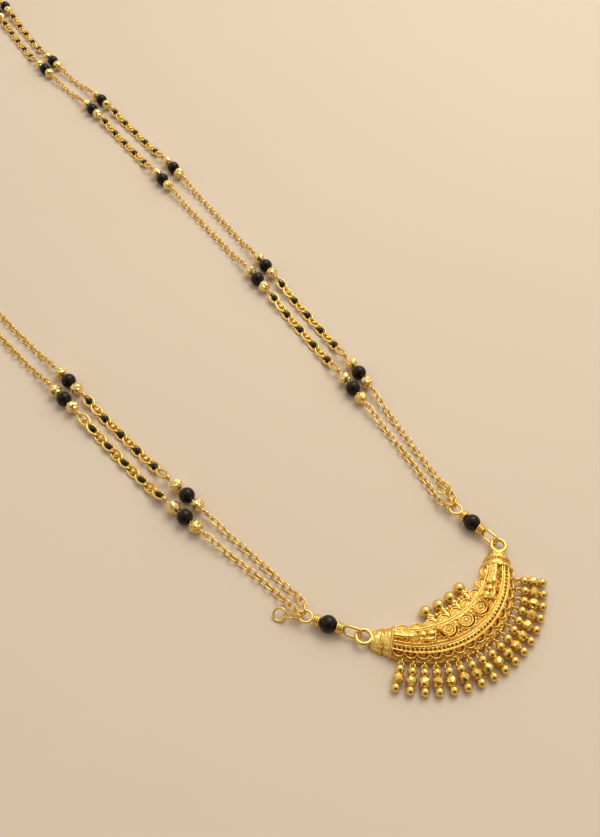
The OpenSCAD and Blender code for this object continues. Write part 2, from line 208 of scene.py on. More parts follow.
# The crescent is one gold casting with a domed, chased face and a flat back.
# Its ornament runs in rows that follow the outer edge: arches, twin wires, a band
# of rosettes, a row of square pits between two wires, and a row of half rounds.
rim_r = 18.6
rim_half = math.radians(58)
body_w = 9.8
body_h = 3.1
horn_half = 11.2
horn_rise = 3.6
relief_cols = 470
relief_rows = 200
wall = 0.035
section_at = (0, 0.02, 0.19, 0.24, 0.42, 0.62, 0.8, 0.9, 0.96, 1)
section_z = (1.5, 1.75, 2.2, 2.45, 3.05, 2.85, 2.25, 1.75, 1.35, 0.9)
arc_centre = np.array([0, rim_r - body_w / 2])
inner_r = (horn_half**2 + horn_rise**2) / (2 * horn_rise)
inner_half = math.asin(horn_half / inner_r)
inner_centre = np.array([0, inner_r + body_w / 2])

# A row of the ornament is a share of the width from the inner edge, and a place along it is a
# count of repeats or a turn in degrees from the middle. A profile of three numbers says how far
# off a form runs, its half width, and its rise in mm, which is below 0 for a hollow.
arches = 9
arch_row = 0.17
arch_edge = (0.86, 0.14, 0.3)
arch_pad = (0, 0.46, 0.26)
arch_ground = 0.1
arch_fade = 0.01
cusp_out = 0.42
cusp_fade = 6
row_wires = ((0.203, 0.2, 0.3), (0.256, 0.14, 0.16), (0.604, 0.17, 0.3),
             (0.664, 0.14, 0.22), (0.797, 0.17, 0.3), (0.985, 0.2, 0.12))
pits = 40
pit_row = 0.733
pit_half_len = 0.31
pit_half_w = 0.24
pit_slope_len = 0.1
pit_slope_w = 0.09
pit_depth = 0.4
pit_pillow = (0, 0.7, 0.1)
half_rounds = 15
half_round_row = 0.8
half_round_half = 0.58
half_round_hang = 1.05
half_round_edge = (0.82, 0.17, 0.4)
half_round_bead = (0.3, 0.16, 0.1)
filling_r = 0.68
filling_slope = 0.06
filling_depth = 0.24
band_r = 12.7
rosette_turns = (-16.3, 0, 16.3)
rosette_row = 0.41
rosette_rings = ((1.18, 0.2, 0.34), (0.72, 0.14, 0.16), (0, 0.4, 0.34))
leaf_arc = (1.7, 0.18, 0.36)
leaf_gap = (1.44, 0.16, -0.3)
leaf_from = 0.16
leaf_fade = 0.4
buds = ((8.1, 0.33, 0.42), (8.1, 0.53, 0.3), (11.5, 0.29, 0.22), (4.7, 0.29, 0.22), (21.6, 0.3, 0.36),
        (22.8, 0.38, 0.24), (20.6, 0.53, 0.26), (40.8, 0.31, 0.3), (41.6, 0.42, 0.3))
bud_rise = 0.3
slanted_leaves = ((8.1, 1.1), (8.1, -1.1), (21.2, -0.8))
slanted_row = 0.44
slanted_half_w = 0.2
slanted_half_len = 0.7
slanted_leaf = (0, 1, 0.22)
tent_place = (24.2, 0.275)
tent_lean = 0.4
tent_foot = 0.6
tent_ridge = (0, 0.2, 0.42)
tent_wall = 0.1
tent_slope = 0.2
bars_from = 0.5
bars_foot = 0.58
bar_pitch = 0.6
bar = (bar_pitch / 2, 0.18, 0.2)
bars_depth = 0.24
large_buds = (29.4, 35.8)
large_bud_row = 0.35
large_bud = (0, 0.72, 0.46)
large_bud_moat = (0.82, 0.14, -0.14)
lying_leaf_place = (34.6, 0.515)
lying_leaf_half_len = 1.9
lying_leaf_half_w = 0.36
lying_leaf_slant = 1.6
lying_leaf_tilt = 0.18
lying_leaf = (0, 1, 0.3)
under_leaf_half_len = 2.2
under_leaf_half_w = 0.8
under_leaf_y = 0.45
under_leaf = (0, 0.5, -0.34)
tongue_place = (49.4, 0.36)
tongue_half_len = 1.5
tongue_half_w = 0.42
tongue_top = (0, 0.5, 0.28)
tongue_moat = (1.0, 0.14, -0.16)
ragged_by = 0.08
ragged_waves = (6.1, 1.7, 2.3)
recess_place = (47.5, 0.53)
recess_half_len = 3.0
recess_slope = 0.3
recess_ragged = 1.6
recess = (0, 0.42, -0.42)
studs = (43.5, 46.7, 50.4, 53.6)
stud_row = 0.55
stud = (0, 0.22, 0.26)
grain_rise = 0.045
filling_from = 0.81
filling_grain = 0.2
band_from = 0.27
band_to = 0.6
band_grain = 0.13
smooth_from = 0.1
edge_fade = 40
# Painted shade is laid on the crescent's colour where its ornament is sunk, and in a band along its outer
# rim.
recess_shade_gain = 4
rim_shade_from = 0.9
rim_shade_gain = 6
rim_shade_most = 0.5
relief_smooth_turn = math.radians(50)

gold_bright = (0.9, 0.64, 0.19, 1)
gold_warm = (0.84, 0.53, 0.11, 1)
# The deep colour is painted shade, laid over the gold where a surface attribute says.
gold_in_shade = (0.5, 0.2, 0.015, 1)
blotch_size = 2.5 * mm
hollow_matt = 0.25
cast_matt = 0.14
wire_matt = 0.16
blotch_matt = 0.06


def gold(name, roughness, grain, relief, shade_attribute=None, rubbed=gold_bright):
    """Yellow gold: brighter where it is rubbed, with a slight grain; a named attribute paints shade on it
    in deep orange, and makes it matter there.
    """
    made = Finish(name, {"Metallic": 1.0})
    blotch = made.speckle(blotch_size)
    fine = made.speckle(grain, detail=4)
    tint = made.mix(blotch, rubbed, gold_warm)
    if shade_attribute:
        # Painted shade: the attribute mixes the colour towards a deep orange, and raises the roughness
        # there.
        depth = made.node("ShaderNodeAttribute", {"attribute_name": shade_attribute}, {}, "Fac")
        tint = made.mix(depth, tint, gold_in_shade)
        made.feed("Roughness", depth * hollow_matt + fine * cast_matt + roughness)
    else:
        made.feed("Roughness", fine * wire_matt + blotch * blotch_matt + roughness)
    made.feed("Base Color", tint)
    made.bump(fine, relief)
    return made.material


def polar(centre, radius, angle):
    return np.stack([centre[0] + radius * np.sin(angle), centre[1] - radius * np.cos(angle)], -1)


def wire(distance, half_width):
    """Height of a round wire, from 0 at its sides to 1 on top."""
    return np.sqrt(np.clip(1 - (distance / half_width) ** 2, 0, 1))


def bump_over(distance, reach):
    """A smooth bump that is 1 at the middle and fades to 0 at reach."""
    share = np.clip(1 - np.abs(distance) / reach, 0, 1)
    return share * share * (3 - 2 * share)


def plateau(distance, edge, slope):
    """1 well inside the edge and 0 beyond it, with a slope between."""
    return np.clip((edge - distance) / slope, 0, 1)


def ridge(distance, profile):
    """A round wire with a profile."""
    off, half_width, rise = profile
    return rise * wire(distance - off, half_width)


def mound(distance, profile):
    """A soft rise or hollow with a profile."""
    off, half_width, rise = profile
    return rise * bump_over(distance - off, half_width)


def softened(values, passes):
    """Heights on a grid, evened out with their neighbours."""
    for _ in range(passes):
        for axis in (0, 1):
            values = (np.roll(values, 1, axis) + 2 * values + np.roll(values, -1, axis)) / 4
    return values


def chasing(u, w, width):
    """Height of the ornament in mm, at u along the crescent and at share w of its width."""
    degrees = u * math.degrees(rim_half)
    side = np.abs(degrees)
    height = np.zeros_like(u)

    def repeat(count):
        """Place in each of count equal parts of the crescent, from -0.5 to 0.5."""
        return ((u + 1) / 2 * count) % 1 - 0.5

    def spot(turn, row):
        """Distances in mm along and across the crescent from a point on its right half."""
        return np.radians(side - turn) * band_r, (w - row) * width

    # Arches along the inner edge, each a bold outline round a small pad
    arch = np.hypot(repeat(arches) / 0.5, (arch_row - w) / arch_row)
    on_rim = plateau(w, arch_row + arch_fade / 2, arch_fade)
    height += on_rim * (ridge(arch, arch_edge) + ridge(arch, arch_pad) - arch_ground)

    # Wires that part the rows
    for row, half_width, rise in row_wires:
        height += rise * wire((w - row) * width, half_width)

    # Square pits between two of the wires
    across_pits = np.abs((w - pit_row) * width)
    deep = plateau(np.abs(repeat(pits)), pit_half_len, pit_slope_len)
    deep *= plateau(across_pits, pit_half_w, pit_slope_w)
    height += mound(across_pits, pit_pillow) - pit_depth * deep

    # Half rounds that hang from the lowest wire, with a sunk, grained filling
    hang = np.hypot(repeat(half_rounds) / half_round_half, (w - half_round_row) * width / half_round_hang)
    below = w > half_round_row
    filling = filling_depth * plateau(hang, filling_r, filling_slope)
    height += below * (ridge(hang, half_round_edge) + ridge(hang, half_round_bead) - filling)

    # Three ringed rosettes in the middle of the band, each over a leaf arc
    for turn in rosette_turns:
        x = np.radians(degrees - turn) * band_r
        y = (w - rosette_row) * width
        far = np.hypot(x, y)
        for ring in rosette_rings:
            height += ridge(far, ring)
        height += plateau(-y, leaf_from, leaf_fade) * (ridge(far, leaf_arc) + mound(far, leaf_gap))

    # Buds and leaves between the rosettes
    for turn, row, bud_r in buds:
        height += bud_rise * wire(np.hypot(*spot(turn, row)), bud_r)
    for turn, lean in slanted_leaves:
        x, y = spot(turn, slanted_row)
        leaf = np.hypot((x + lean * y) / slanted_half_w, (y - lean * x) / slanted_half_len)
        height += ridge(leaf, slanted_leaf)

    # A tent of two ridges with short bars inside
    x, y = spot(*tent_place)
    for lean in (-tent_lean, tent_lean):
        height += (y > 0) * (w < tent_foot) * ridge(x + lean * y, tent_ridge)
    inside = plateau(np.abs(x), tent_lean * y - tent_wall, tent_slope) * (y > bars_from) * (w < bars_foot)
    height += inside * (ridge(y % bar_pitch, bar) - bars_depth)

    # Two large buds over a lying leaf
    for turn in large_buds:
        far = np.hypot(*spot(turn, large_bud_row))
        height += ridge(far, large_bud) + mound(far, large_bud_moat)
    x, y = spot(*lying_leaf_place)
    leaf = np.hypot((x + lying_leaf_slant * y) / lying_leaf_half_len,
                    (y - lying_leaf_tilt * x) / lying_leaf_half_w)
    under = np.hypot(x / under_leaf_half_len, (y - under_leaf_y) / under_leaf_half_w)
    height += ridge(leaf, lying_leaf) + mound(under, under_leaf)

    # A ragged tongue over a recess with four studs, next to the cap
    x, y = spot(*tongue_place)
    quick, swing, slow = ragged_waves
    ragged = ragged_by * np.sin(quick * x + swing * np.sin(slow * x))
    tongue = np.hypot(np.maximum(np.abs(x) - tongue_half_len, 0), y) + ragged
    height += mound(np.maximum(tongue - tongue_half_w, 0), tongue_top) + mound(tongue, tongue_moat)
    x, y = spot(*recess_place)
    within = plateau(np.abs(x), recess_half_len, recess_slope)
    height += within * mound(y + recess_ragged * ragged, recess)
    for turn in studs:
        height += ridge(np.hypot(*spot(turn, stud_row)), stud)
    return height


def take_up(piece):
    bpy.ops.object.select_all(action="DESELECT")
    piece.select_set(True)
    bpy.context.view_layer.objects.active = piece


def sheet(columns, rows):
    """A flat grid, and its points in rows and columns, which run from -1 to 1 both ways."""
    bpy.ops.object.select_all(action="DESELECT")
    bpy.ops.mesh.primitive_grid_add(x_subdivisions=columns, y_subdivisions=rows, size=2)
    piece = bpy.context.object
    points = np.empty(len(piece.data.vertices) * 3)
    piece.data.vertices.foreach_get("co", points)
    return piece, points.reshape(rows + 1, columns + 1, 3)


def mould(piece, points, hollow_shade):
    """Puts a grid's points in their places, in mm, and keeps at each how much painted shade lies on it."""
    piece.data.vertices.foreach_set("co", (points * mm).ravel())
    piece.data.attributes.new("hollow_shade", "FLOAT", "POINT").data.foreach_set("value", hollow_shade.ravel())
    piece.data.update()


def close_back(piece, columns, rows):
    """Fills the two ends and the flat back of a domed grid."""
    take_up(piece)
    last = columns + 1
    ends = [[r * last for r in range(rows + 1)], [r * last + columns for r in range(rows + 1)]]
    back = list(range(last)) + [rows * last + c for c in range(last)]
    for loop in (*ends, back):
        bpy.ops.object.mode_set(mode="EDIT")
        bpy.ops.mesh.select_mode(type="VERT")
        bpy.ops.mesh.select_all(action="DESELECT")
        bpy.ops.object.mode_set(mode="OBJECT")
        for i in loop:
            piece.data.vertices[i].select = True
        bpy.ops.object.mode_set(mode="EDIT")
        bpy.ops.mesh.edge_face_add()
        bpy.ops.object.mode_set(mode="OBJECT")
    bpy.ops.object.mode_set(mode="EDIT")
    bpy.ops.mesh.select_all(action="SELECT")
    bpy.ops.mesh.normals_make_consistent(inside=False)
    bpy.ops.object.mode_set(mode="OBJECT")


def settle(piece, name, material, slot, *nodes):
    """Finishes a piece: its place goes into its mesh, and it gets its name, finish and body."""
    take_up(piece)
    bpy.ops.object.transform_apply(location=True, rotation=True, scale=True)
    piece.name = name
    piece.data.name = name
    piece.data.materials.clear()
    piece.data.materials.append(material)
    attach(piece, "root")
    if nodes:
        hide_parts(*nodes)


crescent, flat = sheet(relief_cols, relief_rows)
u = flat[..., 0]
v = (flat[..., 1] + 1) / 2
w = np.clip((v - wall) / (1 - 2 * wall), 0, 1)
inner_edge = polar(inner_centre, inner_r, u * inner_half)
outer_edge = polar(arc_centre, rim_r, u * rim_half)
reach = outer_edge - inner_edge
width = np.linalg.norm(reach, axis=-1)
cusp = cusp_out * (1 - np.abs(np.sin(np.pi / 2 * (u + 1) * arches))) * np.clip(1 - cusp_fade * w, 0, 1)
side_wall = np.clip(np.minimum(v, 1 - v) / wall, 0, 1)
base = np.empty_like(flat)
base[..., :2] = inner_edge + reach * (w + cusp / width)[..., None]
base[..., 2] = softened(np.interp(w, section_at, section_z), passes=8) * side_wall
outward = np.cross(np.gradient(base, axis=1), np.gradient(base, axis=0))
outward /= np.maximum(np.linalg.norm(outward, axis=-1), 1e-9)[..., None]
outward *= np.sign(outward[relief_rows // 2, relief_cols // 2, 2])
rng = np.random.default_rng(7)
grain = softened(rng.normal(0, 1, u.shape), passes=2)
ornament = chasing(u, w, width)
fade = np.clip(np.minimum(w, 1 - w) * edge_fade, 0, 1)
rough_ground = filling_grain * (w > filling_from) + band_grain * (w > band_from) * (w < band_to)
raised = softened(ornament, passes=1) + grain * (grain_rise + rough_ground * (ornament < smooth_from))
shaped = base + outward * (raised * fade)[..., None]
shaped[..., 2] = np.maximum(shaped[..., 2], 0)
shaped[0, :, 2] = 0
shaped[-1, :, 2] = 0
# Painted shade: the colour darkens where the ornament lies below its softened surroundings.
painted_recess_shade = (softened(ornament, passes=40) - ornament) * recess_shade_gain
# Painted shade: the colour also darkens in a band along the outer rim, where the face turns down.
painted_rim_shade = np.clip((w - rim_shade_from) * rim_shade_gain, 0, rim_shade_most)
mould(crescent, shaped, np.clip(painted_recess_shade + painted_rim_shade, 0, 1))
close_back(crescent, relief_cols, relief_rows)
bpy.ops.object.shade_smooth_by_angle(angle=relief_smooth_turn)
cast_gold = gold("cast_gold", roughness=0.25, grain=0.3 * mm, relief=0.016 * mm, shade_attribute="hollow_shade")
settle(crescent, "chased_crescent", cast_gold, "cast_gold", "pendant")

# A ribbed cap closes each horn: a ridge at the joint, a hammered drum, a second ridge and a dome.
# It is part of the same casting, and a round wire ring is soldered to its tip.
cap_len = 4.4
cap_cols = 72
cap_rows = 64
cap_at = (0, 0.14, 0.5, 0.6, 0.72, 0.84, 0.94, 1)
cap_share = (0.97, 0.9, 0.77, 0.74, 0.7, 0.63, 0.54, 0.44)
cap_ridges = ((0.06 * cap_len, 0.24, 0.09), (0.52 * cap_len, 0.2, 0.08))
cap_groove = (0.42 * cap_len, 0.3, -0.05)
cap_least_h = 0.6
cap_bluntness = 0.75
cap_bluntness_lost = 0.15
cap_shade_gain = 9
hammer_marks = 0.13
cap_ring_r = 1.45
cap_ring_wire = 0.7
cap_ring_seen = 1.18 * cap_ring_wire
smooth_turn = math.radians(40)
horn_in = polar(inner_centre, inner_r, inner_half)
horn_out = polar(arc_centre, rim_r, rim_half)
horn_middle = (horn_in + horn_out) / 2
horn_w = np.linalg.norm(horn_out - horn_in)
horn_across = (horn_out - horn_in) / horn_w
horn_dir = np.array([-horn_across[1], horn_across[0]])
cap_ring_place = horn_middle + horn_dir * (cap_len + cap_ring_r - cap_ring_wire / 3)
cap_ring_z = 0.46 * body_h


def cap_swell(share):
    """Width and height of a cap, as shares of the horn's, at a share of the cap's length."""
    swell = np.interp(share, cap_at, cap_share) + mound(share * cap_len, cap_groove)
    for profile in cap_ridges:
        swell += ridge(share * cap_len, profile)
    return swell, np.maximum(swell, cap_least_h)


def pull_cap(name, side):
    cap, points = sheet(cap_cols, cap_rows)
    share = (points[..., 0] + 1) / 2
    v = (points[..., 1] + 1) / 2
    across = (1 - np.cos(np.pi * v)) / 2
    wide, tall = cap_swell(share)
    place = horn_middle + share[..., None] * cap_len * horn_dir
    place = place + ((across - 0.5) * wide * horn_w)[..., None] * horn_across
    points[..., 0] = side * place[..., 0]
    points[..., 1] = place[..., 1]
    hammered = 1 + hammer_marks * softened(rng.normal(0, 1, v.shape), passes=6)
    dome = np.clip(np.sin(np.pi * v), 0, 1) ** (cap_bluntness - cap_bluntness_lost * across)
    points[..., 2] = body_h * tall * hammered * dome
    # Painted shade: the colour darkens in the cap's grooves, where its width dips below its softened
    # width.
    mould(cap, points, np.clip((softened(wide, passes=14) - wide) * cap_shade_gain, 0, 1))
    close_back(cap, cap_cols, cap_rows)
    bpy.ops.object.shade_smooth_by_angle(angle=smooth_turn)
    settle(cap, name, cast_gold, "cast_gold")


def turned(axis_x, axis_y, place):
    """A placement in metres whose x and y axes point along the two directions."""
    x = Vector(axis_x).normalized()
    y = (Vector(axis_y) - Vector(axis_y).dot(x) * x).normalized()
    rotation = Matrix((x, y, x.cross(y))).transposed().to_4x4()
    return Matrix.Translation(Vector(place) * mm) @ rotation


def wire_ring(radius, thickness, sides=40, around=14):
    bpy.ops.object.select_all(action="DESELECT")
    bpy.ops.mesh.primitive_torus_add(
        major_segments=sides, minor_segments=around,
        major_radius=radius * mm, minor_radius=thickness / 2 * mm)
    bpy.ops.object.shade_smooth()
    return bpy.context.object


def copies(master, places):
    """Copies of a piece at each placement, each with its own mesh, joined in one."""
    made = []
    for place in places:
        twin = master.copy()
        twin.data = master.data.copy()
        twin.matrix_world = place
        bpy.context.scene.collection.objects.link(twin)
        made.append(twin)
    bpy.data.objects.remove(master)
    return joined(made)


def joined(pieces):
    bpy.context.view_layer.update()
    bpy.ops.object.select_all(action="DESELECT")
    for piece in pieces:
        piece.select_set(True)
    bpy.context.view_layer.objects.active = pieces[0]
    if len(pieces) > 1:
        bpy.ops.object.join()
    bpy.ops.object.transform_apply(location=True, rotation=True, scale=True)
    return bpy.context.view_layer.objects.active


pull_cap("cap_left", -1)
pull_cap("cap_right", 1)
ring_gold = gold("ring_gold", roughness=0.14, grain=0.5 * mm, relief=0.008 * mm)
ring_places = []
for side in (-1, 1):
    tip = (side * cap_ring_place[0], cap_ring_place[1], cap_ring_z)
    ring_places.append(turned((1, 0, 0), (0, 1, 0), tip))
rings = copies(wire_ring(cap_ring_r, cap_ring_seen, sides=56, around=18), ring_places)
settle(rings, "cap_rings", ring_gold, "cast_gold")

# Four small balls stand inside the crescent on short stems among two rows of granules, and
# seventeen wire eyes along the outer edge carry the drops. All are soldered to the casting.
ball_d = 2.4
ball_at = (-1.83, -0.6, 0.6, 1.83)
stem_len = 0.8
stem_d = 0.5 * ball_d
stem_collar_r = 0.26 * ball_d
stem_collar_wire = 0.18 * ball_d
stem_collar_at = 0.6 * stem_len
granule_d = 0.85
granule_pitch = 0.82
granule_count = 13
granule_rows = ((0.25, 0, 1.5), (0.75, 0.5, 0.75))
drop_count = 17
drop_pitch = math.radians(6.47)
eye_r = 0.5
eye_wire = 0.26
eye_seen = 1.3 * eye_wire
eye_z = 0.45 * body_h
rim_eye_r = rim_r + 0.4 * eye_r
drop_turns = [(i - (drop_count - 1) / 2) * drop_pitch for i in range(drop_count)]
upright = Matrix.Rotation(math.pi / 2, 4, "X")


def moved(x, y=0.0, z=0.0):
    """A placement at a place given in mm."""
    return Matrix.Translation((x * mm, y * mm, z * mm))


def ball(diameter, segments=32, rings=18):
    bpy.ops.object.select_all(action="DESELECT")
    bpy.ops.mesh.primitive_uv_sphere_add(segments=segments, ring_count=rings, radius=diameter / 2 * mm)
    bpy.ops.object.shade_smooth()
    return bpy.context.object


def rod(diameter, length, sides=16):
    """A short wire along x from the origin."""
    bpy.ops.object.select_all(action="DESELECT")
    bpy.ops.mesh.primitive_cylinder_add(
        vertices=sides, radius=diameter / 2 * mm, depth=length * mm, end_fill_type="TRIFAN",
        location=(length / 2 * mm, 0, 0), rotation=(0, math.pi / 2, 0))
    piece = bpy.context.object
    bpy.ops.object.transform_apply(location=True, rotation=True, scale=True)
    bpy.ops.object.shade_smooth_by_angle(angle=smooth_turn)
    return piece


def inner_edge_y(x):
    return inner_centre[1] - math.sqrt(inner_r**2 - x**2)


def on_rim(turn, distance, lean=0.0):
    """A placement at the eyes' height whose x axis points away from the crescent's outer edge."""
    out = (math.sin(turn), -math.cos(turn), 0)
    sideways = (math.cos(turn), math.sin(turn), 0)
    place = (arc_centre[0] + out[0] * distance, arc_centre[1] + out[1] * distance, eye_z)
    return turned(out, sideways, place) @ Matrix.Rotation(lean, 4, "Y")


small_balls = []
for share in ball_at:
    x = share * ball_d
    middle = inner_edge_y(x) + stem_len + ball_d / 2
    collar_y = inner_edge_y(x) + stem_collar_at
    small_balls.append(copies(ball(ball_d), [moved(x, middle, ball_d / 2)]))
    stem = rod(stem_d, stem_len + ball_d)
    small_balls.append(copies(stem, [turned((0, -1, 0), (1, 0, 0), (x, middle, ball_d / 2))]))
    collar = wire_ring(stem_collar_r, stem_collar_wire, sides=24, around=8)
    small_balls.append(copies(collar, [turned((1, 0, 0), (0, 0, 1), (x, collar_y, ball_d / 2))]))
granules = []
for inward, stagger, height in granule_rows:
    for i in range(granule_count):
        x = (i - (granule_count - 1) / 2 + stagger) * granule_pitch
        granules.append(moved(x, inner_edge_y(x) + inward, height))
small_balls.append(copies(ball(granule_d, segments=16, rings=10), granules))
settle(joined(small_balls), "inner_balls", ring_gold, "cast_gold")

eye_places = [on_rim(turn, rim_eye_r) @ upright for turn in drop_turns]
eyes = copies(wire_ring(eye_r, eye_seen, sides=20, around=8), eye_places)
settle(eyes, "rim_eyes", ring_gold, "cast_gold")

# Each drop is a wire ring soldered to a row of three balls: a plain one, a larger one
# that is cut into facets, and a plain one at the end. Drops hang in the rim's eyes.
top_ball_d = 1.7
mid_ball_d = 2.2
end_ball_d = 1.8
ball_fuller = 1.1
ball_sink = 0.15
facet_depth = 0.12
facet_turn = 0.7
collar_r = 0.4
collar_wire = 0.22
clear = 0.13
drop_eye = rim_eye_r + 2 * eye_r - eye_wire - clear
top_ball = eye_wire / 2 + clear + top_ball_d / 2 + rim_eye_r + eye_r - drop_eye
mid_ball = top_ball + (top_ball_d + mid_ball_d) / 2 - ball_sink
end_ball = mid_ball + (mid_ball_d + end_ball_d) / 2 - ball_sink
drop_lean = math.atan(min((eye_z - end_ball_d / 2) / end_ball, (eye_z - mid_ball_d / 2) / mid_ball))


def cut_ball(diameter, cuts, seed, depth=0.05):
    """A ball cut all over into small flat facets of uneven size."""
    bpy.ops.object.select_all(action="DESELECT")
    bpy.ops.mesh.primitive_ico_sphere_add(subdivisions=cuts, radius=diameter / 2 * mm)
    piece = bpy.context.object
    cutter = random.Random(seed)
    for vertex in piece.data.vertices:
        vertex.co *= 1 + cutter.uniform(-depth, 0.3 * depth)
    bpy.ops.object.shade_flat()
    return piece


drop_gold = gold("drop_gold", roughness=0.16, grain=0.4 * mm, relief=0.006 * mm)
for i, turn in enumerate(drop_turns):
    row = [wire_ring(eye_r, eye_wire, sides=24, around=10)]
    for middle, diameter in ((top_ball, ball_fuller * top_ball_d), (end_ball, end_ball_d)):
        row.append(copies(ball(diameter, segments=28, rings=16), [moved(middle)]))
    spin = Matrix.Rotation(i * facet_turn, 4, "X")
    faceted = cut_ball(ball_fuller * mid_ball_d, cuts=2, seed=i, depth=facet_depth)
    row.append(copies(faceted, [moved(mid_ball) @ spin]))
    for joint in ((top_ball + mid_ball) / 2, (mid_ball + end_ball) / 2):
        collar = wire_ring(collar_r, collar_wire, sides=20, around=8)
        row.append(copies(collar, [moved(joint) @ Matrix.Rotation(math.pi / 2, 4, "Y")]))
    drop = copies(joined(row), [on_rim(turn, drop_eye, drop_lean)])
    settle(drop, f"ball_drop_{i + 1:02d}", drop_gold, "drop_gold", f"drop_{i + 1:02d}")

# A wrapped wire on each side carries one black bead. It is a soft wire bent into a long loop
# at the pendant's end and a round one at the other, and its tails are wound in three turns
# on either side of the bead, the widest of which hugs it.
wrap_wire = 0.5
wrapped_d = 3.5
loop_r = 1.25
loop_gap = 0.25
loop_lean = math.radians(128)
loop_seen = 1.2 * wrap_wire
bead_gap = 0.1
near_turns = 4
far_turns = 3
seen_turns = 3
turn_steps = 20
snug_r = 1.06
slim_r = 0.7
shank_d = 0.6
hug_gap = 0.02
wrap_heading = [math.radians(124), math.radians(96)]
wrap_z = wrapped_d / 2
near_loop = cap_ring_r - (cap_ring_wire + wrap_wire) / 2 - loop_gap + loop_r
coil_start = near_loop + loop_r + wrap_wire / 2
wrapped_bead = coil_start + near_turns * wrap_wire + bead_gap + wrapped_d / 2
far_coil = wrapped_bead + wrapped_d / 2 + bead_gap
far_loop = far_coil + far_turns * wrap_wire + loop_r
hug = math.sqrt((wrapped_d / 2 + wrap_wire / 2 + hug_gap) ** 2 - snug_r**2)
turn_pitch = 0.9 * wrap_wire
coil_len = seen_turns * turn_pitch
loop_end = wrapped_bead - hug - coil_len
long_loop_len = loop_end + wrap_wire - near_loop + loop_r


def wrap_point(side, distance):
    """The place on the table, in mm, at a distance from the cap ring along the wrapped wire."""
    start = np.array([(-1, 1)[side] * cap_ring_place[0], cap_ring_place[1]])
    return start + distance * np.array([math.cos(wrap_heading[side]), math.sin(wrap_heading[side])])


def wire_through(points, thickness, around=4, closed=False):
    """A round wire along a row of points."""
    path = bpy.data.curves.new("wire", "CURVE")
    path.dimensions = "3D"
    path.bevel_depth = thickness / 2 * mm
    path.bevel_resolution = around
    path.use_fill_caps = True
    line = path.splines.new("POLY")
    line.points.add(len(points) - 1)
    line.use_cyclic_u = closed
    for knot, point in zip(line.points, points):
        knot.co = (*point, 1)
    piece = bpy.data.objects.new("wire", path)
    bpy.context.scene.collection.objects.link(piece)
    take_up(piece)
    bpy.ops.object.convert(target="MESH")
    bpy.ops.object.shade_smooth()
    return bpy.context.object


def wound(start, first_r, last_r):
    """A wire wound round the x axis, one turn beside the next, from one radius to another."""
    steps = turn_steps * seen_turns
    points = []
    for i in range(steps + 1):
        share = i / steps
        wide = first_r + (last_r - first_r) * share
        angle = 2 * math.pi * seen_turns * share - math.pi / 2
        place = (start + coil_len * share, wide * math.cos(angle), wide * math.sin(angle))
        points.append(Vector(place) * mm)
    return wire_through(points, wrap_wire)


def oval_link(length, across, thickness, sides, around):
    """A soldered link along x, with the middle of its near wire at the origin."""
    piece = wire_ring((across - thickness) / 2, thickness, sides, around)
    bpy.ops.object.mode_set(mode="EDIT")
    bpy.ops.mesh.select_all(action="DESELECT")
    bpy.ops.object.mode_set(mode="OBJECT")
    for vertex in piece.data.vertices:
        vertex.select = vertex.co.x > 0.01 * mm
    bpy.ops.object.mode_set(mode="EDIT")
    bpy.ops.transform.translate(value=((length - across) * mm, 0, 0))
    bpy.ops.object.mode_set(mode="OBJECT")
    piece.location.x = (across - thickness) / 2 * mm
    bpy.ops.object.transform_apply(location=True, rotation=False, scale=False)
    return piece


wire_gold = gold("wire_gold", roughness=0.2, grain=0.3 * mm, relief=0.008 * mm)
for side, name in enumerate(("left", "right")):
    long_loop = oval_link(long_loop_len, 2 * loop_r, loop_seen, sides=40, around=12)
    near_ring = copies(long_loop, [moved(near_loop - loop_r) @ Matrix.Rotation(loop_lean, 4, "X")])
    far_ring = copies(wire_ring(loop_r, wrap_wire, sides=40, around=12), [moved(far_loop)])
    shank = copies(rod(shank_d, far_loop - loop_r - loop_end), [moved(loop_end)])
    near_wrap = wound(loop_end, slim_r, snug_r)
    far_wrap = wound(wrapped_bead + hug, snug_r, slim_r)
    wrapped = joined([near_ring, far_ring, shank, near_wrap, far_wrap])
    turn = Matrix.Rotation(wrap_heading[side], 4, "Z")
    wrapped = copies(wrapped, [moved(*wrap_point(side, 0), wrap_z) @ turn])
    settle(wrapped, f"wound_wire_{name}", wire_gold, "gold_wire", f"wrap_wire_{name}")

# Four strands run side by side in pairs, from the wrapped wires round to the neck.
# Plain cable chain changes with stretches of pointed links; a pin with beads marks each change.
# Their routes are given in mm, from the pendant to the clasp.
strands = ("left_outer", "left_inner", "right_inner", "right_outer")
strand_side = (0, 0, 1, 1)
routes = [
    [(-24.95, 23.2), (-25.6, 28.2), (-31.2, 52.8), (-36.9, 97.7), (-40.4, 126.5), (-42.7, 160), (-43, 200),
     (-42.2, 240), (-41.9, 275), (-41.5, 308), (-30.8, 333.8), (-13.6, 344.3)],
    [(-22.7, 22.6), (-23.3, 28.7), (-28, 57.8), (-33.5, 102.6), (-37, 132.8), (-38.3, 160), (-38.6, 200),
     (-37.9, 240), (-37.6, 275), (-38, 308), (-28.3, 331.3), (-13.6, 341.7)],
    [(15.05, 24.6), (16.1, 30), (19.6, 61.6), (22.8, 107.6), (24.5, 161.2), (25.1, 203.6), (23.4, 236.6),
     (25.8, 272.6), (27.5, 308), (18.3, 331.3), (3.6, 341.7)],
    [(18.2, 24.7), (18.9, 30), (23.8, 64.6), (27.5, 111.1), (30, 162.7), (30, 206.4), (27.8, 236.8),
     (30.1, 274.5), (31.5, 308), (20.8, 333.8), (3.6, 344.3)]]
first_len = (33.5, 38, 39.5, 43)
mid_len = 52
high_len = 31
loop_turn = [math.radians(turn) for turn in (110, 62, 120, 52)]
ring_turn = [math.radians(turn) for turn in (-24, 24, 24, -24)]
clasp = np.array([-5, 343])
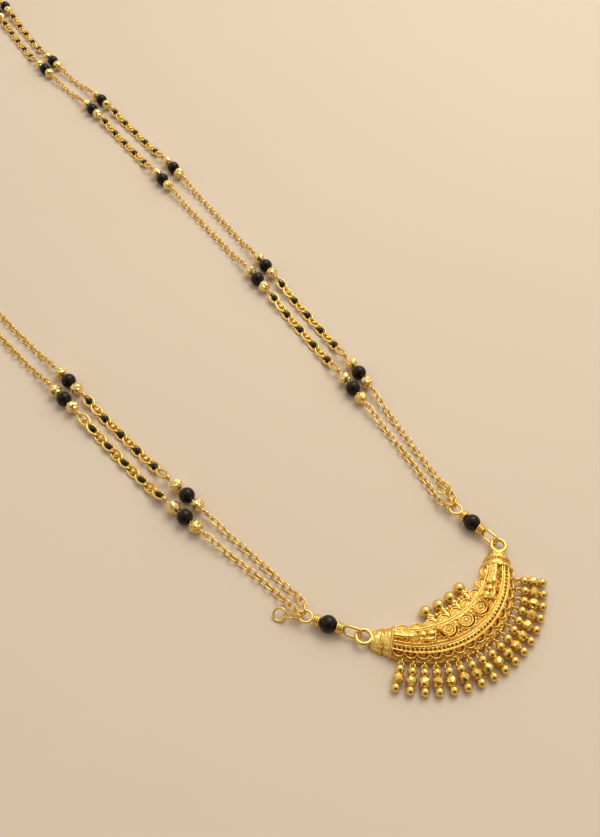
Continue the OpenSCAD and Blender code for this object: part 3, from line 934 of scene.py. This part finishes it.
hook_r = 2
hook_wire = 1
end_ring_r = 1.8
end_ring_wire = 0.7
black_d = 3.5
gold_d = 3.2
pin_neck = 0.63
pin_eye_r = 0.72
link_len = 4.4
link_wire = 0.55
link_gap = 0.16
links = 10
fine_wire = 0.33
slant_gap = 0.07
rise_len = 8
end_ring_z = end_ring_r + end_ring_wire / 2
end_ring_x = 2 * hook_r + end_ring_r - end_ring_wire / 2 - hook_wire / 2 - 2 * clear
link_in = link_len - link_wire
link_pitch = link_in - link_wire - link_gap
pin_half = black_d / 2 + bead_gap + gold_d + pin_neck + pin_eye_r
beaded_len = 2 * pin_half + link_in + (links - 1) * link_pitch


def behind(a, b, distance):
    return a - distance * (b - a) / np.linalg.norm(b - a)


def smooth_route(points, steps=10):
    """A smooth curve through the points, and the length along it at each of its steps."""
    points = np.array(points, float)
    chords = np.diff(points, axis=0)
    spans = np.linalg.norm(chords, axis=1)
    ways = chords / spans[:, None]
    inner = ways[:-1] * spans[1:, None] + ways[1:] * spans[:-1, None]
    turns = np.vstack([ways[:1], inner / np.linalg.norm(inner, axis=1)[:, None], ways[-1:]])
    made = []
    for i, span in enumerate(spans):
        for t in np.arange(steps) / steps:
            made.append(
                points[i] * (2 * t**3 - 3 * t**2 + 1) + turns[i] * span * (t**3 - 2 * t**2 + t)
                + points[i + 1] * (3 * t**2 - 2 * t**3) + turns[i + 1] * span * (t**3 - t**2))
    made = np.array([*made, points[-1]])
    return made, np.concatenate([[0], np.cumsum(np.linalg.norm(np.diff(made, axis=0), axis=1))])


class Strand:
    """One strand: places along it by distance from the pendant's end, in mm."""

    def __init__(self, k):
        side = strand_side[k]
        on_loop = loop_r * np.array([math.cos(loop_turn[k]), math.sin(loop_turn[k])])
        held = wrap_point(side, far_loop) + on_loop
        ring = clasp + np.array([(-1, 1)[side] * (end_ring_x + end_ring_r * math.cos(ring_turn[k])), 0])
        route = np.array(routes[k], float)
        first = behind(held, route[0], (wrap_wire + fine_wire) / 2 + clear)
        last = behind(ring, route[-1], (end_ring_wire + fine_wire) / 2 + clear + slant_gap)
        self.path, self.far = smooth_route([first, *route, last])
        self.total = self.far[-1]
        self.end_z = end_ring_z + end_ring_r * math.sin(ring_turn[k])
        start = first_len[k]
        self.groups = [start, start + beaded_len]
        for gap in (mid_len, high_len):
            start = self.groups[-1] + gap
            self.groups += [start, start + beaded_len]

    def height(self, s, low):
        """Height at distance s: low where it lies free, and raised near beads, loop and ring."""
        def hill(distance, top):
            share = min(max(distance / rise_len, 0), 1)
            return low + (top - low) * (1 - share * share * (3 - 2 * share))

        near = min(max(abs(s - group) - pin_half, 0) for group in self.groups)
        return max(hill(s, wrap_z), hill(self.total - s, self.end_z), hill(near, black_d / 2))

    def point(self, s, low):
        x = np.interp(s, self.far, self.path[:, 0])
        y = np.interp(s, self.far, self.path[:, 1])
        return Vector((x, y, self.height(s, low)))

    def stretches(self):
        """Where plain chain runs, from the loop, between groups and to the clasp."""
        g = self.groups
        return [(0, g[0] - pin_half), (g[1] + pin_half, g[2] - pin_half),
                (g[3] + pin_half, g[4] - pin_half), (g[5] + pin_half, self.total)]


runs = [Strand(k) for k in range(len(strands))]

# The plain stretches are fine cable chain: soldered oval links, each turned a quarter
# from the one before. The first and last link of a stretch hang in an eye, loop or ring.
fine_len = 2.46
fine_w = 1.8
fine_d = 1.3
fine_seen = 1.18 * fine_wire
fine_in = fine_len - fine_wire
fine_pitch = fine_in - fine_wire - clear
slack_links = 4
slack_roll = 38
slack_spread = 14


def along(a, b):
    """A placement at a whose x axis points to b."""
    x = (b - a).normalized()
    return turned(x, (-x.y, x.x, 0), a)


draw = random.Random(11)
for k, run in enumerate(runs):
    places = []
    for part, (a, b) in enumerate(run.stretches()):
        count = round((b - a - fine_in) / fine_pitch) + 1
        pitch = (b - a - fine_in) / (count - 1)
        start_roll = 90 if part == 0 else 0
        for i in range(count):
            s = a + i * pitch
            loose = min(i, count - 1 - i, slack_links) / slack_links
            slack = loose * (slack_roll + draw.uniform(-slack_spread, slack_spread))
            roll = math.radians(start_roll + 90 * (i % 2) + slack)
            place = along(run.point(s, fine_d / 2), run.point(s + fine_in, fine_d / 2))
            places.append(place @ Matrix.Rotation(roll, 4, "X"))
    chain = copies(oval_link(fine_len, fine_w, fine_seen, sides=14, around=6), places)
    settle(chain, f"cable_chain_{strands[k]}", wire_gold, "gold_wire", f"fine_chain_{strands[k]}")

# Between two pins run pointed oval links, each with one side passing over and one under the
# next. Every other window holds a small black bead, and those between a small gold one,
# each on a short wire soldered across the link.
link_half = 0.98
link_seen = 0.58
link_points = 28
point_sharpness = 1.35
side_lift = 0.27
lift_steepness = 2.2
table_gap = 0.01
seen_z = side_lift + link_seen / 2 + table_gap
seed_black_d = 1.5
seed_black_len = 2.5
seed_taper = 0.35
seed_gold_d = 1.3
seed_wire = 0.3
cross_len = 2 * link_half
black_first = (0, 1, 1, 1)
glass_dark = (0.006, 0.004, 0.003, 1)
glass_pale = (0.018, 0.012, 0.008, 1)
glass_shine = (1, 0.82, 0.6, 1)
glass_cloud = 0.8 * mm
glass_rough = 0.12
cloud_rough = 0.15

black_glass = Finish("black_glass", {
    "Metallic": 0.0, "Specular IOR Level": 0.2, "Specular Tint": glass_shine, "Coat Weight": 0.08,
    "Coat Roughness": glass_rough})
cloud = black_glass.speckle(glass_cloud, detail=2)
black_glass.feed("Base Color", black_glass.mix(cloud, glass_dark, glass_pale))
black_glass.feed("Roughness", cloud * cloud_rough + glass_rough)


def pointed_link(side):
    """A link along x with pointed ends, one of its sides raised and the other lowered."""
    points = []
    for i in range(link_points):
        turn = 2 * math.pi * i / link_points
        swell = math.sin(turn)
        x = link_in / 2 * (1 - math.cos(turn))
        y = link_half * math.copysign(abs(swell) ** point_sharpness, swell)
        z = side * side_lift * max(-1, min(1, lift_steepness * swell))
        points.append(Vector((x, y, z)) * mm)
    return wire_through(points, link_seen, around=2, closed=True)


def long_seed(diameter, length):
    """A small bead drawn out to a point at both ends."""
    piece = ball(diameter, segments=14, rings=12)
    for vertex in piece.data.vertices:
        share = vertex.co.z / (diameter / 2 * mm)
        slim = max(1 - abs(share), 0) ** seed_taper
        vertex.co = (share * length / 2 * mm, vertex.co.x * slim, vertex.co.y * slim)
    return piece


for k, run in enumerate(runs):
    link_places = ([], [])
    black_places = []
    gold_places = []
    cross_places = []
    for start in run.groups[::2]:
        for i in range(links):
            s = start + pin_half + i * link_pitch
            place = along(run.point(s, seen_z), run.point(s + link_in, seen_z))
            link_places[i % 2].append(place)
            if i == 0 and black_first[k] == 1:
                continue
            middle = place @ moved(link_in / 2)
            (black_places if i % 2 == black_first[k] else gold_places).append(middle)
            cross_places.append(middle @ moved(0, -cross_len / 2) @ Matrix.Rotation(math.pi / 2, 4, "Z"))
    chain = joined([copies(pointed_link(1), link_places[0]), copies(pointed_link(-1), link_places[1])])
    settle(chain, f"pointed_links_{strands[k]}", wire_gold, "gold_wire", f"beaded_chain_{strands[k]}")
    black_seeds = copies(long_seed(seed_black_d, seed_black_len), black_places)
    settle(black_seeds, f"black_seeds_{strands[k]}", black_glass.material, "black_glass")
    gold_seeds = copies(cut_ball(seed_gold_d, cuts=2, seed=k), gold_places)
    wires = copies(rod(seed_wire, cross_len, sides=8), cross_places)
    settle(joined([gold_seeds, wires]), f"gold_seeds_{strands[k]}", wire_gold, "gold_wire")

# A pin marks each change of chain: a black bead between two gold ones cut all over,
# on a straight wire with a turned eye at each end. The gold beads are soldered on.
pin_wire = 0.5
pin_eye_wire = 0.45
bead_cut = 0.14
bead_seed = 20
gold_seen_d = 0.95 * gold_d
gold_rubbed = (1.0, 0.79, 0.4, 1)
gold_bead = black_d / 2 + bead_gap + gold_d / 2

cut_gold = gold("cut_gold", roughness=0.22, grain=0.25 * mm, relief=0.012 * mm, rubbed=gold_rubbed)
for k, run in enumerate(runs):
    bead_places = []
    eye_places = []
    pin_places = []
    for s in run.groups:
        a = run.point(s - pin_half, 0)
        b = run.point(s + pin_half, 0)
        a.z = b.z = black_d / 2
        middle = along((a + b) / 2, b)
        pin_places.append(middle @ moved(pin_eye_r - pin_half))
        for end in (-1, 1):
            spin = Matrix.Rotation(draw.uniform(0, 6), 4, "X")
            bead_places.append(middle @ moved(end * gold_bead) @ spin)
            eye_places.append(middle @ moved(end * pin_half) @ upright)
    cut_beads = copies(cut_ball(gold_seen_d, cuts=3, seed=bead_seed + k, depth=bead_cut), bead_places)
    pins = copies(rod(pin_wire, 2 * (pin_half - pin_eye_r), sides=12), pin_places)
    eyes = copies(wire_ring(pin_eye_r, pin_eye_wire, sides=28, around=10), eye_places)
    strung = joined([cut_beads, pins, eyes])
    settle(strung, f"cut_beads_{strands[k]}", cut_gold, "cut_gold", f"bead_pins_{strands[k]}")

# What the solids already show truly keeps its shape and gets its finish: the black beads,
# the loose chain ends with their rings, and the plain hook and rings of the clasp.
finishes = {"gold_wire": wire_gold, "black_glass": black_glass.material, "cast_gold": cast_gold,
            "drop_gold": drop_gold, "cut_gold": cut_gold}
for part in frame["record"]["subparts"]:
    node = frame["nodes"][part["node"]]
    node.data.materials.clear()
    node.data.materials.append(finishes[part["material_slot"]])

bpy.ops.object.select_all(action="DESELECT")
